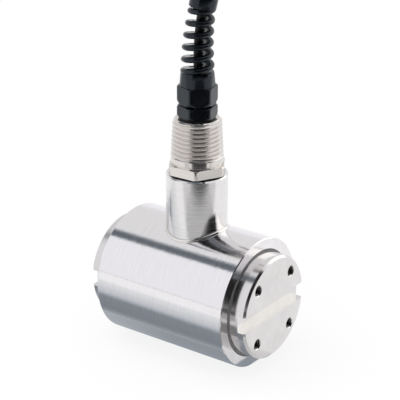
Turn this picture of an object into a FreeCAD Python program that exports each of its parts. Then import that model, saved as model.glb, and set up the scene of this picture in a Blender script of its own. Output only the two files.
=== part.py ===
import FreeCAD, Part
import math
import os
import Sketcher

# Static torque sensor with a cable neck.
# +X runs along the torque axis from the rear mounting face (x = 0) to the front one, +Z up the cable neck.
# Both mounting faces belong to one measuring body, whose square bar twists inside the housing tube.

doc = FreeCAD.newDocument("torque_sensor")
sheet = doc.addObject("Spreadsheet::Sheet", "Sizes")

SIZES = [
    ("face_gap", 0.7, "mounting faces and their collars inside the line of the tube's bore"),
    ("face_chamfer", 0.9, "edge of a mounting face"),
    ("face_reach", 7.5, "end of the tube to a mounting face"),
    ("overlap", 1.0, "joined solids run this far into each other, and cutting tools past a surface"),
    ("slot_width", 7.0, "cross slot of a mounting face"),
    ("slot_depth", 3.2, ""),
    ("bolt_inset", 4.95, "four tapped holes on each mounting face, their axes inside the face's edge"),
    ("bolt_drill", 4.2, "tapping drill of an M5 thread"),
    ("bolt_sink", 4.9, "countersunk mouth of a tapped hole"),
    ("bolt_depth", 12.0, ""),
    ("block_inside", 11.5, "solid end of the measuring body, inside the tube"),
    ("tube_length", 62.5, "housing tube"),
    ("tube_outer", 54.5, ""),
    ("tube_wall", 4.85, ""),
    ("tube_edge", 0.35, "chamfer of the tube's edges"),
    ("seat_start", 1.2, "rear end of the tube to the press seat"),
    ("seal_cord", 2.6, "cord of the seal rings"),
    ("seal_room", 3.2, "width of a seal groove"),
    ("seal_inset", 6.0, "end of the tube to the middle of a seal groove"),
    ("wire_hole", 14.0, "hole in the tube below the neck"),
    ("neck_outer", 25.4, "cable neck"),
    ("neck_wall", 3.7, ""),
    ("neck_top", 50.0, "above the torque axis"),
    ("neck_edge", 0.5, ""),
    ("socket_wall", 2.5, "round the threaded socket at the top of the neck"),
    ("socket_depth", 12.0, ""),
    ("weld_leg", 1.3, "bead round the foot of the neck"),
    ("weld_rise", 1.0, "bead above the tube"),
    ("nipple_gap", 0.5, "seal below the nipple's hexagon"),
    ("nipple_inset", 1.7, "flats of the nipple's hexagon inside the neck's edge"),
    ("nipple_hex", 3.9, "height of that hexagon"),
    ("nipple_bevel", 0.9, "bevel of the hexagon's upper corners"),
    ("nipple_turn", 2.4, "degrees that the hexagon is turned"),
    ("nipple_band", 2.9, "plain band below the taper thread"),
    ("band_relief", 0.05, "depth of that band below the thread's foot"),
    ("thread_inset", 0.25, "foot of the taper thread inside the hexagon's flats"),
    ("thread_drop", 0.8, "radius that the thread loses up to its narrow end"),
    ("thread_length", 16.0, ""),
    ("thread_pitch", 1.81, ""),
    ("thread_depth", 0.95, "groove between two turns of the thread"),
    ("thread_crest", 0.25, "flat top of a turn"),
    ("thread_edge", 0.8, "chamfer at its narrow end"),
    ("nipple_spigot", 10.5, "screwed into the neck"),
    ("nipple_step", 1.7, "nipple's bore inside the socket for the gland"),
    ("gland_step", 1.05, "gland's screw inside the line of its flats"),
    ("gland_screw", 9.0, "depth of that socket"),
    ("washer", 0.5, "flat seal below the gland"),
    ("washer_inset", 0.1, "edge of that seal inside the gland's flats"),
    ("gland_flats", 14.5, "across the flats of both gland hexagons"),
    ("gland_hex", 5.0, "height of the gland's hexagon"),
    ("gland_turn", 14.0, "degrees that the gland's hexagon is turned"),
    ("gland_spigot", 11.0, "threaded end below the gland nut"),
    ("gland_slack", 0.95, "cable to the gland's bore"),
    ("gland_relief", 0.7, "spigot's surface inside the line of the gland's screw"),
    ("mouth_wide", 1.8, "opening of the gland's coned mouth beyond its bore, at the top"),
    ("mouth_narrow", 0.8, "the same at the bottom"),
    ("mouth_depth", 4.0, ""),
    ("insert_lip", 0.6, "rubber insert above the gland's mouth"),
    ("nut_play", 0.1, "gland's spigot to the nut"),
    ("nut_gap", 0.3, "gland's hexagon to the nut"),
    ("nut_hex", 7.7, "height of the nut's hexagon"),
    ("nut_turn", 20.0, "degrees that the nut's hexagon is turned"),
    ("nut_edge", 1.0, "bevel of the nut's lower corners"),
    ("nut_shoulder", 0.4, "bevel of its upper corners"),
    ("cone_height", 5.8, "faceted cone above the nut's hexagon"),
    ("cone_step", 0.3, "facets of the cone inside the nut's flats"),
    ("cone_corner", 0.25, "corners of the cone beyond its facets"),
    ("cone_draft", 0.3, "radius that the cone loses up to its head"),
    ("spiral_pitch", 4.7, "bend protector"),
    ("spiral_turns", 5.45, ""),
    ("spiral_step", 0.05, "outside of the spiral inside the cone's head"),
    ("spiral_draw", 1.1, "radius that the spiral loses up to its head"),
    ("spiral_strip", 2.4, "height of the moulded strip"),
    ("strip_bevel", 0.72, "bevel of the strip's outer edges"),
    ("spiral_wall", 2.9, "thickness of the moulded strip"),
    ("spiral_bury", 0.75, "turns of the strip inside the cone and the closed ring"),
    ("spiral_turn", 28.0, "degrees at which the strip leaves the cone"),
    ("collar_height", 5.0, "closed ring at the head of the spiral"),
    ("collar_edge", 0.6, ""),
    ("cable_play", 0.1, "cable to that ring"),
    ("cable_diameter", 3.3, ""),
    ("core_diameter", 0.9, "insulated conductor"),
    ("core_gap", 0.11, "half the gap between two conductors"),
    ("core_turn", 0.8, "where the front pair of conductors bends, above the tube's bore"),
    ("core_turn_rear", 2.6, "the same for the rear pair"),
    ("core_landing", 3.0, "straight end of a conductor at its terminal"),
    ("board_clearance", 2.9, "terminal board to the tube's bore"),
    ("board_ring", 7.5, "width of the ring-shaped board"),
    ("bar_clearance", 1.4, "terminal board to the corners of the square torsion bar"),
    ("board_sheet", 1.5, ""),
    ("board_stand", 2.0, "spacers behind the board"),
    ("board_screw", 2.1, "screw shank"),
    ("screw_bite", 5.0, "shank in the rear block"),
    ("screw_head", 1.5, ""),
    ("gauge_length", 9.0, "strain gauge"),
    ("gauge_width", 7.0, ""),
    ("gauge_film", 0.3, ""),
    ("lead_wire", 0.5, ""),
    ("cable_strip", 55.0, "sheathed cable from its stripped end in the gland to the head of the spiral"),
    ("cable_heading", 125.6, "degrees from +X to where the cable falls behind the neck"),
    ("coil_middle", 39.0, "cable coil, across at the middle of its turns"),
    ("coil_wide", 13.2, "bundle of turns, across"),
    ("coil_high", 10.0, "bundle of turns, up"),
    ("coil_away", 58.0, "neck to the middle of the coil, away from the viewer"),
    ("coil_aside", 4.0, "the same to the side"),
]


def row(alias, content, note=""):
    """Writes the sheet's next row and returns the rule that reads it."""
    line = len(written) + 1
    sheet.set("A%d" % line, alias)
    sheet.set("B%d" % line, content)
    sheet.setAlias("B%d" % line, alias)
    sheet.set("C%d" % line, note)
    written.append(alias)
    return "Sizes." + alias


written = []
for alias, size, note in SIZES:
    row(alias, str(size), note)
doc.recompute()

# Radii, places along the torque axis and heights above it, worked out in the sheet.
OUTER = row("outer", "=tube_outer / 2")
BORE = row("bore", "=outer - tube_wall")
FACE = row("face", "=bore - face_gap")
GROOVE_FLOOR = row("groove_floor", "=bore - seal_cord")
HOLE_REACH = row("hole_reach", "=(face - bolt_inset) * sin(45 deg)")
NECK_RADIUS = row("neck_radius", "=neck_outer / 2")
NECK_BORE = row("neck_bore", "=neck_radius - neck_wall")
SOCKET = row("socket", "=neck_radius - socket_wall")
NIPPLE_FLATS = row("nipple_flats", "=neck_outer - 2 * nipple_inset")
THREAD_WIDE = row("thread_wide", "=nipple_flats / 2 - thread_inset")
THREAD_NARROW = row("thread_narrow", "=thread_wide - thread_drop")
GLAND_SOCKET = row("gland_socket", "=gland_flats / 2 - gland_step")
NIPPLE_BORE = row("nipple_bore", "=gland_socket - nipple_step")
CABLE = row("cable", "=cable_diameter / 2")
GLAND_BORE = row("gland_bore", "=cable + gland_slack")
CONE_WIDE = row("cone_wide", "=gland_flats / 2 - cone_step")
CONE_NARROW = row("cone_narrow", "=cone_wide - cone_draft")
SPIRAL_WIDE = row("spiral_wide", "=cone_narrow - spiral_step")
SPIRAL_NARROW = row("spiral_narrow", "=spiral_wide - spiral_draw")
BOARD_EDGE = row("board_edge", "=bore - board_clearance")
BOARD_WINDOW = row("board_window", "=board_edge - board_ring")
BAR_WIDTH = row("bar_width", "=(board_window - bar_clearance) * sqrt(2)")
BOARD_MIDDLE = row("board_middle", "=(board_edge + board_window) / 2")

OVERALL = row("overall", "=tube_length + 2 * face_reach")
MIDDLE = row("middle", "=overall / 2")
TUBE_REAR = "Sizes.face_reach"
TUBE_FRONT = row("tube_front", "=face_reach + tube_length")
BLOCK = row("block", "=face_reach + block_inside")
BOARD_FOOT = row("board_foot", "=block + board_stand")
BOARD_FACE = row("board_face", "=board_foot + board_sheet")

HEX_FOOT = row("hex_foot", "=neck_top + nipple_gap")
THREAD_FOOT = row("thread_foot", "=hex_foot + nipple_hex + nipple_band")
NIPPLE_TOP = row("nipple_top", "=thread_foot + thread_length")
GLAND_FOOT = row("gland_foot", "=nipple_top + washer")
GLAND_TOP = row("gland_top", "=gland_foot + gland_hex")
NUT_FOOT = row("nut_foot", "=gland_top + nut_gap")
CONE_FOOT = row("cone_foot", "=nut_foot + nut_hex")
CONE_TOP = row("cone_top", "=cone_foot + cone_height")
COLLAR_FOOT = row("collar_foot", "=cone_top + spiral_pitch * spiral_turns")
COLLAR_TOP = row("collar_top", "=collar_foot + collar_height")
doc.recompute()

QUARTER_TURN = FreeCAD.Rotation(FreeCAD.Vector(0, 1, 0), 90)


def place(thing, x="0", y="0", z="0"):
    """Binds where a part stands to the sheet."""
    for axis, where in zip("xyz", (x, y, z)):
        thing.setExpression("Placement.Base." + axis, where)


def bind(thing, **sizes):
    """Binds the sizes of a primitive to the sheet."""
    for name, rule in sizes.items():
        thing.setExpression(name, rule)


def rod(name, radius, length, along_x=False, **where):
    """A cylinder up +Z, or along +X."""
    thing = doc.addObject("Part::Cylinder", name)
    if along_x:
        thing.Placement = FreeCAD.Placement(FreeCAD.Vector(), QUARTER_TURN)
    bind(thing, Radius=radius, Height=length)
    place(thing, **where)
    return thing


def taper(name, foot, head, length, turn=None, **where):
    """A cone frustum up +Z, or turned by a rotation."""
    thing = doc.addObject("Part::Cone", name)
    if turn:
        thing.Placement = FreeCAD.Placement(FreeCAD.Vector(), turn)
    bind(thing, Radius1=foot, Radius2=head, Height=length)
    place(thing, **where)
    return thing


def block(name, length, width, height, **where):
    """A box whose corner nearest the origin is at the given place."""
    thing = doc.addObject("Part::Box", name)
    bind(thing, Length=length, Width=width, Height=height)
    place(thing, **where)
    return thing


def hexagon(name, flats, height, turn, foot):
    """A hexagonal prism on the neck's axis."""
    thing = doc.addObject("Part::Prism", name)
    thing.Polygon = 6
    bind(thing, Circumradius="%s / 2 / cos(30 deg)" % flats, Height=height)
    thing.setExpression("Placement.Rotation.Angle", turn)
    place(thing, x=MIDDLE, z=foot)
    return thing


def fuse(name, shapes):
    """Several solids joined as one piece."""
    thing = doc.addObject("Part::MultiFuse", name)
    thing.Shapes = shapes
    thing.Refine = True
    return thing


def common(name, shapes):
    """The space that all the solids share."""
    thing = doc.addObject("Part::MultiCommon", name)
    thing.Shapes = shapes
    return thing


def cut(name, base, tools):
    """A solid with the tools taken out of it."""
    thing = doc.addObject("Part::Cut", name)
    thing.Base = base
    thing.Tool = tools[0] if len(tools) == 1 else fuse(name + "_tools", tools)
    return thing


def section(body, corners):
    """A closed sketch in the XZ plane of a body, its corners given as rules (across, up)."""
    plane = [p for p in body.Origin.OriginFeatures if p.Role == "XZ_Plane"][0]
    sketch = body.newObject("Sketcher::SketchObject", body.Name + "_section")
    sketch.AttachmentSupport = (plane, "")
    sketch.MapMode = "FlatFace"
    count = len(corners)
    ring, ring_middle = 20, 50
    start = []
    for i in range(count):
        angle = 2 * math.pi * i / count
        start.append(FreeCAD.Vector(ring_middle, ring_middle, 0)
                     + FreeCAD.Vector(math.cos(angle), math.sin(angle), 0) * ring)
    for i in range(count):
        sketch.addGeometry(Part.LineSegment(start[i], start[(i + 1) % count]), False)
    for i in range(count):
        sketch.addConstraint(Sketcher.Constraint("Coincident", i, 2, (i + 1) % count, 1))
    for i, (across, up) in enumerate(corners):
        for kind, rule, value in (("DistanceX", across, start[i].x), ("DistanceY", up, start[i].y)):
            index = sketch.addConstraint(Sketcher.Constraint(kind, -1, 1, i, 1, value))
            sketch.renameConstraint(index, "%s_%d" % (kind, i))
            sketch.setExpression("Constraints.%s_%d" % (kind, i), rule)
    doc.recompute()
    return sketch


def turned(name, corners, upright=False):
    """A turned piece: its half section, given as corners (along, radius), spun round its own axis.

    A piece on the torque axis runs along X. An upright one runs up the neck's axis.
    """
    body = doc.addObject("PartDesign::Body", name)
    sketch = section(body, [(radius, along) if upright else (along, radius) for along, radius in corners])
    spin = body.newObject("PartDesign::Revolution", name + "_spin")
    spin.Profile = sketch
    spin.ReferenceAxis = (sketch, ["V_Axis" if upright else "H_Axis"])
    spin.Angle = 360.0
    body.Tip = spin
    if upright:
        place(body, x=MIDDLE)
    doc.recompute()
    return body


def measuring_body():
    """One piece of steel: two round blocks with mounting faces, and the square bar between them."""
    front_end = "(%s - %s)" % (OVERALL, BLOCK)
    bevel = "Sizes.face_chamfer"
    seat = "(%s + Sizes.seat_start)" % TUBE_REAR
    rear_groove = "(%s + Sizes.seal_inset)" % TUBE_REAR
    front_groove = "(%s - Sizes.seal_inset)" % TUBE_FRONT
    rear = turned("rear_block", [
        ("0", "0"),
        ("0", "%s - %s" % (FACE, bevel)),
        (bevel, FACE),
        (seat, FACE),
        (seat, BORE),
        ("%s - Sizes.seal_room / 2" % rear_groove, BORE),
        ("%s - Sizes.seal_room / 2" % rear_groove, GROOVE_FLOOR),
        ("%s + Sizes.seal_room / 2" % rear_groove, GROOVE_FLOOR),
        ("%s + Sizes.seal_room / 2" % rear_groove, BORE),
        ("%s - %s" % (BLOCK, bevel), BORE),
        (BLOCK, "%s - %s" % (BORE, bevel)),
        (BLOCK, "0"),
    ])
    front = turned("front_block", [
        (front_end, "0"),
        (front_end, "%s - %s" % (FACE, bevel)),
        ("%s + %s" % (front_end, bevel), FACE),
        ("%s - Sizes.seal_room / 2" % front_groove, FACE),
        ("%s - Sizes.seal_room / 2" % front_groove, GROOVE_FLOOR),
        ("%s + Sizes.seal_room / 2" % front_groove, GROOVE_FLOOR),
        ("%s + Sizes.seal_room / 2" % front_groove, FACE),
        ("%s - %s" % (OVERALL, bevel), FACE),
        (OVERALL, "%s - %s" % (FACE, bevel)),
        (OVERALL, "0"),
    ])
    bar_start = "(%s - Sizes.overlap)" % BLOCK
    bar = block(
        "torsion_bar", "%s - 2 * %s" % (OVERALL, bar_start), "Sizes.bar_width", "Sizes.bar_width",
        x=bar_start, y="-Sizes.bar_width / 2", z="-Sizes.bar_width / 2",
    )
    solid = fuse("measuring_blank", [rear, front, bar])
    tools = []
    for end, slot_at in (("rear", "-Sizes.overlap"), ("front", "%s - Sizes.slot_depth" % OVERALL)):
        tools.append(block(
            end + "_slot", "Sizes.slot_depth + Sizes.overlap", "2 * (%s + Sizes.overlap)" % FACE,
            "Sizes.slot_width",
            x=slot_at, y="-%s - Sizes.overlap" % FACE, z="-Sizes.slot_width / 2",
        ))
    sink = "(Sizes.bolt_sink - Sizes.bolt_drill) / 2"
    for end in ("rear", "front"):
        drill_at = "0" if end == "rear" else "%s - Sizes.bolt_depth" % OVERALL
        for hole, (side, height) in enumerate(((1, 1), (-1, 1), (-1, -1), (1, -1)), start=1):
            y = "%d * %s" % (side, HOLE_REACH)
            z = "%d * %s" % (height, HOLE_REACH)
            label = "%s_hole_%d" % (end, hole)
            tools.append(rod(label, "Sizes.bolt_drill / 2", "Sizes.bolt_depth", True, x=drill_at, y=y, z=z))
            if end == "rear":
                radii = ("Sizes.bolt_sink / 2", "Sizes.bolt_drill / 2")
                sink_at = "0"
            else:
                radii = ("Sizes.bolt_drill / 2", "Sizes.bolt_sink / 2")
                sink_at = "%s - %s" % (OVERALL, sink)
            tools.append(taper(label + "_sink", radii[0], radii[1], sink, QUARTER_TURN, x=sink_at, y=y, z=z))
    for side in (1, -1):
        tools.append(rod(
            "board_hole_%d" % (side + 2), "Sizes.board_screw / 2", "Sizes.screw_bite + Sizes.overlap", True,
            x="%s - Sizes.screw_bite" % BLOCK, y="%d * %s" % (side, BOARD_MIDDLE),
        ))
    return cut("measuring_body", solid, tools)


def housing_tube():
    """Thick tube pressed on the rear block; its front end clears the front collar."""
    edge = "Sizes.tube_edge"
    tube = turned("tube_blank", [
        (TUBE_REAR, "%s + %s" % (BORE, edge)),
        (TUBE_REAR, "%s - %s" % (OUTER, edge)),
        ("%s + %s" % (TUBE_REAR, edge), OUTER),
        ("%s - %s" % (TUBE_FRONT, edge), OUTER),
        (TUBE_FRONT, "%s - %s" % (OUTER, edge)),
        (TUBE_FRONT, "%s + %s" % (BORE, edge)),
        ("%s - %s" % (TUBE_FRONT, edge), BORE),
        ("%s + %s" % (TUBE_REAR, edge), BORE),
    ])
    hole = rod("wire_way", "Sizes.wire_hole / 2", "Sizes.tube_outer", x=MIDDLE)
    return cut("housing_tube", tube, [hole])


def seal_ring(name, middle):
    """Round-cord ring in a groove of the measuring body."""
    ring = doc.addObject("Part::Torus", name)
    ring.Placement = FreeCAD.Placement(FreeCAD.Vector(), QUARTER_TURN)
    bind(ring, Radius1="%s - Sizes.seal_cord / 2" % BORE, Radius2="Sizes.seal_cord / 2")
    place(ring, x=middle)
    return ring


def cable_neck():
    """Upright tube, its foot cut to the housing's curve, with a threaded socket at the top."""
    socket = "(Sizes.neck_top - Sizes.socket_depth)"
    blank = turned("neck_blank", [
        ("0", NECK_BORE),
        ("0", NECK_RADIUS),
        ("Sizes.neck_top - Sizes.neck_edge", NECK_RADIUS),
        ("Sizes.neck_top", "%s - Sizes.neck_edge" % NECK_RADIUS),
        ("Sizes.neck_top", SOCKET),
        (socket, SOCKET),
        (socket, NECK_BORE),
    ], upright=True)
    saddle = rod("neck_saddle", OUTER, "Sizes.tube_length", True, x=TUBE_REAR)
    return cut("cable_neck", blank, [saddle])


def neck_weld():
    """Bead that follows the saddle between neck and tube, bevelled from one to the other."""
    outside = rod("weld_outside", "%s + Sizes.weld_leg" % NECK_RADIUS, "Sizes.neck_top", x=MIDDLE)
    skin = rod("weld_skin", "%s + Sizes.weld_rise" % OUTER, "Sizes.tube_length", True, x=TUBE_REAR)
    bead = common("weld_bead", [outside, skin])
    inside = rod("weld_inside", NECK_RADIUS, "Sizes.neck_top", x=MIDDLE)
    saddle = rod("weld_saddle", OUTER, "Sizes.tube_length", True, x=TUBE_REAR)
    return cut("neck_weld", bead, [inside, saddle])


def nipple_seal():
    """Flat ring between the neck and the nipple's hexagon."""
    disc = rod("nipple_seal_disc", "%s / 2" % NIPPLE_FLATS, "Sizes.nipple_gap", x=MIDDLE, z="Sizes.neck_top")
    way = rod("nipple_seal_way", SOCKET, "Sizes.nipple_gap", x=MIDDLE, z="Sizes.neck_top")
    return cut("nipple_seal", disc, [way])


def thread_corners():
    """Half section of the taper thread, drawn as plain rings a pitch apart."""
    taper_length = "(Sizes.thread_length - Sizes.thread_edge)"
    turns = int((value("thread_length") - value("thread_edge")) / value("thread_pitch"))
    corners = []
    for turn in range(turns):
        foot = "Sizes.thread_pitch * %d" % turn
        head = "Sizes.thread_pitch * %d" % (turn + 1)
        for rise, groove in (
            ("(%s + Sizes.thread_crest / 2)" % foot, "0"),
            ("(%s + Sizes.thread_pitch / 2)" % foot, "Sizes.thread_depth"),
            ("(%s - Sizes.thread_crest / 2)" % head, "0"),
        ):
            crest = "%s - Sizes.thread_drop * %s / %s" % (THREAD_WIDE, rise, taper_length)
            corners.append(("%s + %s" % (THREAD_FOOT, rise), "%s - %s" % (crest, groove)))
    return corners


def conduit_nipple():
    """Steel nipple: spigot in the neck, hexagon, plain band and taper thread."""
    corner = "%s / 2 / cos(30 deg)" % NIPPLE_FLATS
    band = "%s - Sizes.band_relief" % THREAD_WIDE
    shoulder = "(%s + Sizes.nipple_hex / 2)" % HEX_FOOT
    wall = turned("nipple_blank", [
        ("%s - Sizes.nipple_spigot" % HEX_FOOT, NIPPLE_BORE),
        ("%s - Sizes.nipple_spigot" % HEX_FOOT, SOCKET),
        (shoulder, SOCKET),
        (shoulder, band),
        (THREAD_FOOT, band),
        (THREAD_FOOT, THREAD_WIDE),
        *thread_corners(),
        ("%s - Sizes.thread_edge" % NIPPLE_TOP, THREAD_NARROW),
        (NIPPLE_TOP, "%s - Sizes.thread_edge" % THREAD_NARROW),
        (NIPPLE_TOP, GLAND_SOCKET),
        ("%s - Sizes.gland_screw" % NIPPLE_TOP, GLAND_SOCKET),
        ("%s - Sizes.gland_screw" % NIPPLE_TOP, NIPPLE_BORE),
    ], upright=True)
    prism = hexagon("nipple_prism", NIPPLE_FLATS, "Sizes.nipple_hex", "Sizes.nipple_turn", HEX_FOOT)
    bevel = taper(
        "nipple_bevel", "%s + 2 * Sizes.nipple_bevel" % corner, "%s - Sizes.nipple_bevel" % corner,
        "Sizes.nipple_hex", x=MIDDLE, z=HEX_FOOT,
    )
    head = common("nipple_head", [prism, bevel])
    way_radius = "%s - Sizes.overlap" % SOCKET
    way = rod("nipple_way", way_radius, "Sizes.nipple_hex", x=MIDDLE, z=HEX_FOOT)
    return fuse("conduit_nipple", [cut("nipple_collar", head, [way]), wall])


def gland_washer():
    """Flat seal between nipple and gland."""
    rim = "Sizes.gland_flats / 2 - Sizes.washer_inset"
    disc = rod("washer_disc", rim, "Sizes.washer", x=MIDDLE, z=NIPPLE_TOP)
    way = rod("washer_way", GLAND_SOCKET, "Sizes.washer", x=MIDDLE, z=NIPPLE_TOP)
    return cut("gland_washer", disc, [way])


def gland_body():
    """Moulded body of the cable gland: screwed end, hexagon and spigot with a coned mouth."""
    screw_end = "(%s - Sizes.gland_screw)" % GLAND_FOOT
    shoulder = "(%s + Sizes.gland_hex / 2)" % GLAND_FOOT
    spigot = "(%s + Sizes.gland_spigot)" % GLAND_FOOT
    spigot_radius = "(%s - Sizes.gland_relief)" % GLAND_SOCKET
    stem = turned("gland_stem", [
        (screw_end, GLAND_BORE),
        (screw_end, GLAND_SOCKET),
        (shoulder, GLAND_SOCKET),
        (shoulder, spigot_radius),
        (spigot, spigot_radius),
        (spigot, "%s + Sizes.mouth_wide" % GLAND_BORE),
        ("%s - Sizes.mouth_depth" % spigot, "%s + Sizes.mouth_narrow" % GLAND_BORE),
        ("%s - Sizes.mouth_depth" % spigot, GLAND_BORE),
    ], upright=True)
    prism = hexagon("gland_prism", "Sizes.gland_flats", "Sizes.gland_hex", "Sizes.gland_turn", GLAND_FOOT)
    way = rod("gland_way", "%s + Sizes.mouth_wide" % GLAND_BORE, "Sizes.gland_hex", x=MIDDLE, z=GLAND_FOOT)
    return fuse("gland_body", [cut("gland_collar", prism, [way]), stem])


def gland_insert():
    """Rubber cone that the nut presses round the cable."""
    mouth_top = "(%s + Sizes.gland_spigot)" % GLAND_FOOT
    foot = "(%s - Sizes.mouth_depth)" % mouth_top
    lip = "(%s + Sizes.insert_lip)" % mouth_top
    wide = "%s + Sizes.mouth_wide" % GLAND_BORE
    return turned("gland_insert", [
        (foot, CABLE),
        (foot, "%s + Sizes.mouth_narrow" % GLAND_BORE),
        (mouth_top, wide),
        (lip, wide),
        (lip, CABLE),
    ], upright=True)


def gland_nut():
    """One moulding: hexagonal nut, faceted cone, spiral bend protector and the ring at its head."""
    corner = "Sizes.gland_flats / 2 / cos(30 deg)"
    prism = hexagon("nut_prism", "Sizes.gland_flats", "Sizes.nut_hex", "Sizes.nut_turn", NUT_FOOT)
    lower = taper(
        "nut_lower_bevel", "%s - Sizes.nut_edge" % corner, "%s + 3 * Sizes.nut_edge" % corner,
        "Sizes.nut_hex", x=MIDDLE, z=NUT_FOOT,
    )
    upper = taper(
        "nut_upper_bevel", "%s + 10 * Sizes.nut_shoulder" % corner, "%s - Sizes.nut_shoulder" % corner,
        "Sizes.nut_hex", x=MIDDLE, z=NUT_FOOT,
    )
    nut = common("nut_head", [prism, lower, upper])
    facets = hexagon("cone_facets", "2 * %s" % CONE_WIDE, "Sizes.cone_height", "Sizes.nut_turn", CONE_FOOT)
    round_cone = taper(
        "cone_round", "%s + Sizes.cone_corner" % CONE_WIDE, CONE_NARROW, "Sizes.cone_height",
        x=MIDDLE, z=CONE_FOOT,
    )
    cone = common("cone_body", [facets, round_cone])
    cable_way = "%s + Sizes.cable_play" % CABLE
    collar = turned("collar_ring", [
        (COLLAR_FOOT, cable_way),
        (COLLAR_FOOT, SPIRAL_NARROW),
        ("%s - Sizes.collar_edge" % COLLAR_TOP, SPIRAL_NARROW),
        (COLLAR_TOP, "%s - Sizes.collar_edge" % SPIRAL_NARROW),
        (COLLAR_TOP, cable_way),
    ], upright=True)
    cavity = "(%s - Sizes.gland_relief + Sizes.nut_play)" % GLAND_SOCKET
    throat = "(%s - Sizes.spiral_wall)" % SPIRAL_WIDE
    inside = turned("nut_inside", [
        ("%s - Sizes.nut_gap" % NUT_FOOT, "0"),
        ("%s - Sizes.nut_gap" % NUT_FOOT, cavity),
        ("%s - Sizes.insert_lip" % CONE_FOOT, cavity),
        ("%s + Sizes.cone_height / 2" % CONE_FOOT, throat),
        ("%s + Sizes.overlap" % CONE_TOP, throat),
        ("%s + Sizes.overlap" % CONE_TOP, "0"),
    ], upright=True)
    shell = cut("nut_shell", fuse("nut_outside", [nut, cone]), [inside])
    return fuse("gland_nut", [shell, spiral_strip(), collar])


def spiral_strip():
    """Strip of the bend protector, wound on a slightly tapered helix with bevelled outer edges."""
    rise = "(Sizes.spiral_pitch * (Sizes.spiral_turns + Sizes.spiral_bury))"
    edge_in = "(%s - Sizes.spiral_wall)" % SPIRAL_WIDE
    foot = "(%s - Sizes.spiral_pitch / 2 - Sizes.spiral_strip / 2)" % CONE_TOP
    head = "(%s + Sizes.spiral_strip)" % foot
    body = doc.addObject("PartDesign::Body", "spiral_strip")
    sketch = section(body, [
        (edge_in, foot),
        ("%s - Sizes.strip_bevel" % SPIRAL_WIDE, foot),
        (SPIRAL_WIDE, "%s + Sizes.strip_bevel" % foot),
        (SPIRAL_WIDE, "%s - Sizes.strip_bevel" % head),
        ("%s - Sizes.strip_bevel" % SPIRAL_WIDE, head),
        (edge_in, head),
    ])
    winding = body.newObject("PartDesign::AdditiveHelix", "strip_winding")
    winding.Profile = sketch
    winding.ReferenceAxis = (sketch, ["V_Axis"])
    winding.Mode = "pitch-height-angle"
    winding.LeftHanded = False
    winding.setExpression("Pitch", "Sizes.spiral_pitch")
    winding.setExpression("Height", rise)
    winding.setExpression("Angle", "-atan(Sizes.spiral_draw / %s)" % rise)
    body.Tip = winding
    body.setExpression("Placement.Rotation.Angle", "Sizes.spiral_turn")
    place(body, x=MIDDLE)
    doc.recompute()
    return body


def terminal_board():
    """Ring-shaped board round the torsion bar, carried by the rear block."""
    disc = rod("board_disc", BOARD_EDGE, "Sizes.board_sheet", True, x=BOARD_FOOT)
    holes = [rod("board_window", BOARD_WINDOW, "Sizes.board_sheet", True, x=BOARD_FOOT)]
    for side in (1, -1):
        holes.append(rod(
            "board_clearance_%d" % (side + 2), "Sizes.board_screw / 2", "Sizes.board_sheet", True,
            x=BOARD_FOOT, y="%d * %s" % (side, BOARD_MIDDLE),
        ))
    return cut("terminal_board", disc, holes)


def board_spacers():
    """Two spacer sleeves between the rear block and the board."""
    sleeves = []
    for side in (1, -1):
        where = {"x": BLOCK, "y": "%d * %s" % (side, BOARD_MIDDLE)}
        label = "spacer_%d" % (side + 2)
        outside = rod(label + "_outside", "Sizes.board_screw", "Sizes.board_stand", True, **where)
        inside = rod(label + "_inside", "Sizes.board_screw / 2", "Sizes.board_stand", True, **where)
        sleeves.append(cut(label, outside, [inside]))
    return fuse("board_spacers", sleeves)


def board_screws():
    """Two pan-head screws through the board and its spacers."""
    screws = []
    for side in (1, -1):
        y = "%d * %s" % (side, BOARD_MIDDLE)
        label = "board_screw_%d" % (side + 2)
        shank = rod(
            label + "_shank", "Sizes.board_screw / 2",
            "Sizes.screw_bite + Sizes.board_stand + Sizes.board_sheet", True,
            x="%s - Sizes.screw_bite" % BLOCK, y=y,
        )
        head = rod(label + "_head", "Sizes.board_screw", "Sizes.screw_head", True, x=BOARD_FACE, y=y)
        screws.append(fuse(label, [shank, head]))
    return fuse("board_screws", screws)


def strain_gauge(name, quarter):
    """Foil gauge on one flat of the torsion bar, with its two leads bent up to the board."""
    flat = "Sizes.bar_width / 2"
    rear_edge = "(%s - Sizes.gauge_length / 2)" % MIDDLE
    pieces = [block(
        name + "_film", "Sizes.gauge_length", "Sizes.gauge_width", "Sizes.gauge_film",
        x=rear_edge, y="-Sizes.gauge_width / 2", z=flat,
    )]
    for side in (1, -1):
        y = "%d * Sizes.gauge_width / 4" % side
        label = "%s_lead_%d" % (name, side + 2)
        pieces.append(rod(
            label, "Sizes.lead_wire / 2", "%s - %s + Sizes.lead_wire / 2" % (rear_edge, BOARD_FACE), True,
            x=BOARD_FACE, y=y, z="%s + Sizes.lead_wire / 2" % flat,
        ))
        pieces.append(rod(
            label + "_riser", "Sizes.lead_wire / 2", "%s + Sizes.overlap - %s" % (BOARD_WINDOW, flat),
            x="%s + Sizes.lead_wire / 2" % BOARD_FACE, y=y, z="%s + Sizes.lead_wire / 2" % flat,
        ))
    gauge = fuse(name, pieces)
    quarter_turns = FreeCAD.Rotation(FreeCAD.Vector(1, 0, 0), 90 * quarter)
    gauge.Placement = FreeCAD.Placement(FreeCAD.Vector(), quarter_turns)
    return gauge


def value(alias):
    """A size of the sheet as a number."""
    return float(sheet.get(alias))


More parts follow.
